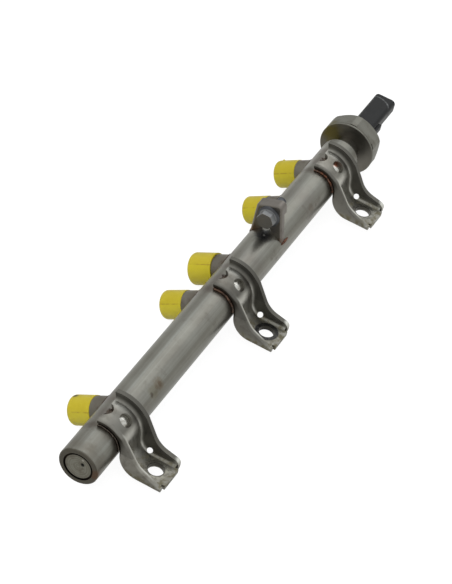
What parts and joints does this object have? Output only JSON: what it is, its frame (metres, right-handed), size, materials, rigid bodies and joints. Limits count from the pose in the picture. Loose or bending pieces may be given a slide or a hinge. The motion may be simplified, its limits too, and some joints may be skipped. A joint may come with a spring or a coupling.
{
  "type": "fuel rail",
  "caption": "Brazed steel high-pressure fuel rail: drawn tube with stamped saddle brackets, capped pipe fittings, a bolt holder and a pressure sensor at one end.",
  "frame": {"origin": "centre of the middle bracket's bolt hole, on the mounting face under the feet", "axes": "+X along the tube towards the pressure sensor, +Z away from the mounting face, +Y from the feet towards the pipe fittings"},
  "size_m": [0.41, 0.0779, 0.0597],
  "materials": {
    "tube": "satin, drawn and furnace brazed",
    "plug": "turned, dull",
    "bracket": "satin, stamped",
    "fitting": "heat tinted, satin",
    "cap": "soft gloss, moulded",
    "sensor_body": "turned, satin",
    "cell": "ground",
    "connector": "moulded, fine grain",
    "pins": "tinned",
    "seal": "smooth",
    "holder": "satin, drawn sheet",
    "bolt": "dark zinc, dull",
    "nut": "dull"
  },
  "bodies": {
    "root": {"rail_tube": "tube", "end_plug": "plug", "bracket_front": "bracket", "bracket_middle": "bracket", "bracket_rear": "bracket", "outlet_first_fitting": "fitting", "outlet_second_fitting": "fitting", "outlet_third_fitting": "fitting", "inlet_fitting": "fitting", "link_fitting": "fitting", "outlet_first_cap": "cap", "outlet_second_cap": "cap", "outlet_third_cap": "cap", "inlet_cap": "cap", "link_cap": "cap", "sensor_housing": "sensor_body", "sensor_cell": "cell", "sensor_connector": "connector", "connector_pins": "pins", "connector_seal": "seal", "bolt_holder": "holder", "holder_bolt": "bolt", "holder_nut": "nut"}
  },
  "joints": []
}
